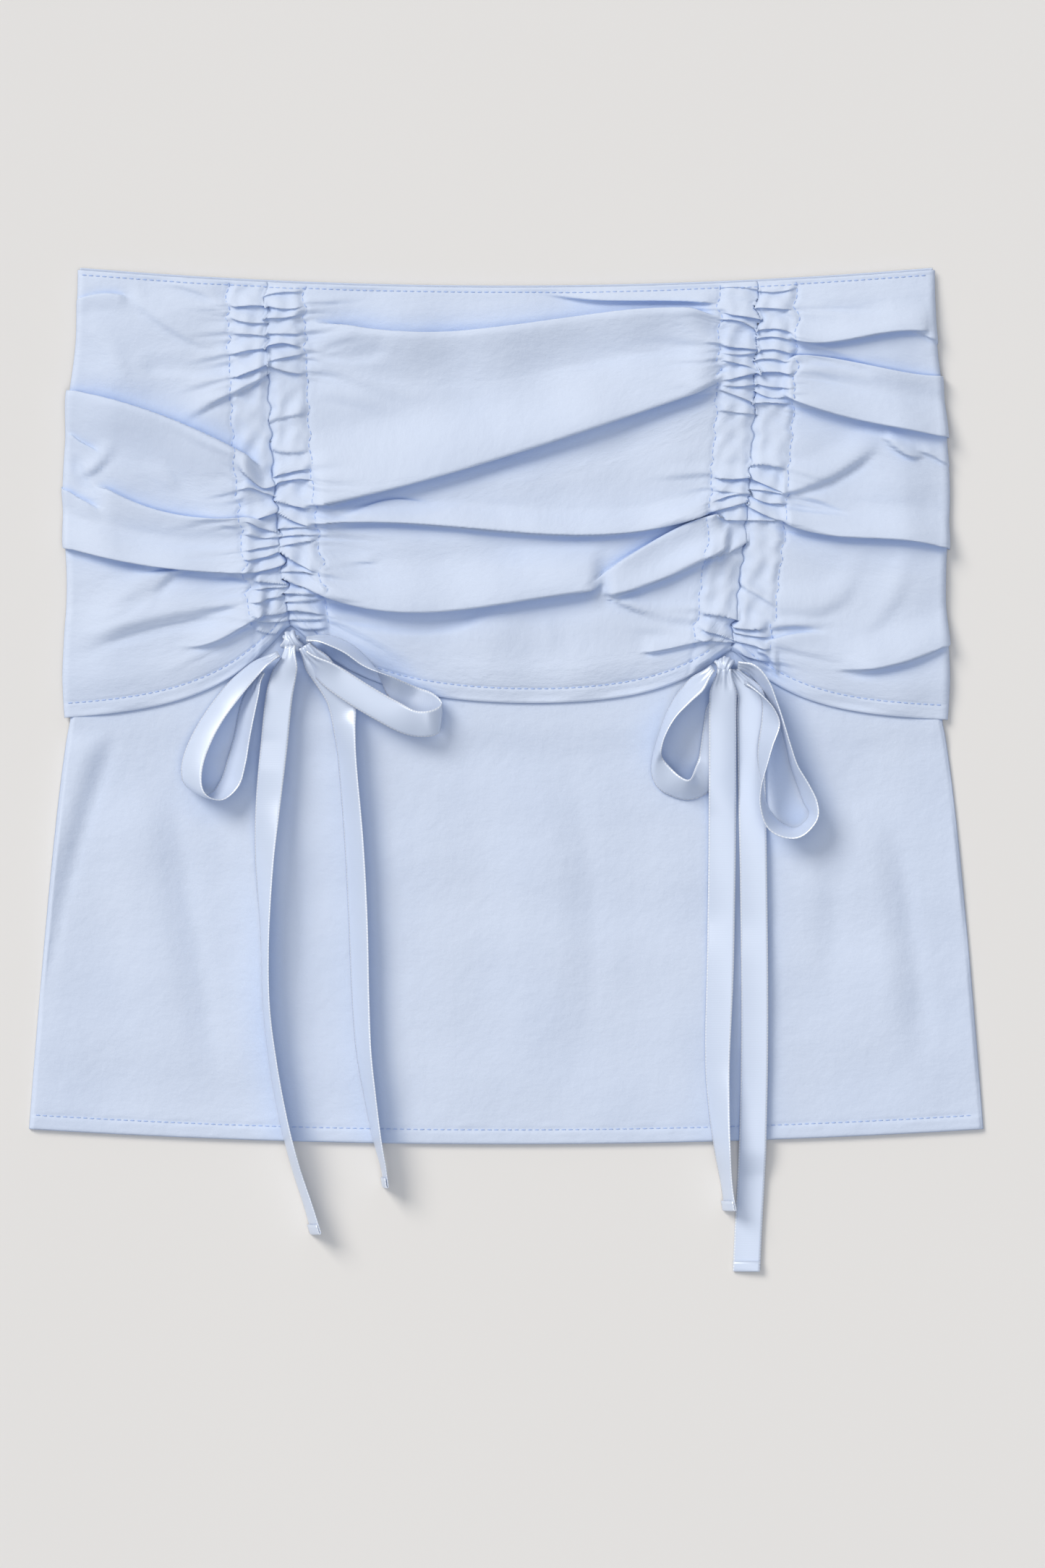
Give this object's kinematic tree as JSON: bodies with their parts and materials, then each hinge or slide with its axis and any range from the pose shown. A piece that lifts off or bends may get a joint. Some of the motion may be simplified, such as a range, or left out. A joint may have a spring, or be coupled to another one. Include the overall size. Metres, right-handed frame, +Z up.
{
  "type": "ruched mini skirt",
  "caption": "Pale blue mini skirt laid flat: a flared underskirt under a shorter overlay ruched by drawstring channels, each ending in a satin ribbon bow with long tails.",
  "frame": {"origin": "on the surface that the skirt lies on, midway between the underskirt's hem corners and midway between the top of the waist and the lowest point of the underskirt's hem, ribbons left out", "axes": "+X to the viewer's right across the laid-out front, +Y towards the waist, +Z up out of the front of the skirt"},
  "size_m": [0.4098, 0.4305, 0.0192],
  "materials": {
    "crepe": "smooth pale blue crepe, matt, with a faint sheen on the folds",
    "ribbon": "pale blue satin ribbon with near-white highlights and fine dotted selvedges"
  },
  "bodies": {
    "root": {"overlay_side_front_left": "crepe", "overlay_centre_front": "crepe", "overlay_side_front_right": "crepe", "overlay_back": "crepe", "underskirt_front": "crepe", "underskirt_back": "crepe", "left_bow_knot": "ribbon", "left_bow_loop_outer": "ribbon", "left_bow_loop_inner": "ribbon", "left_tail_outer": "ribbon", "left_tail_inner": "ribbon", "right_bow_knot": "ribbon", "right_bow_loop_inner": "ribbon", "right_bow_loop_outer": "ribbon", "right_tail_inner": "ribbon", "right_tail_outer": "ribbon"}
  },
  "joints": []
}
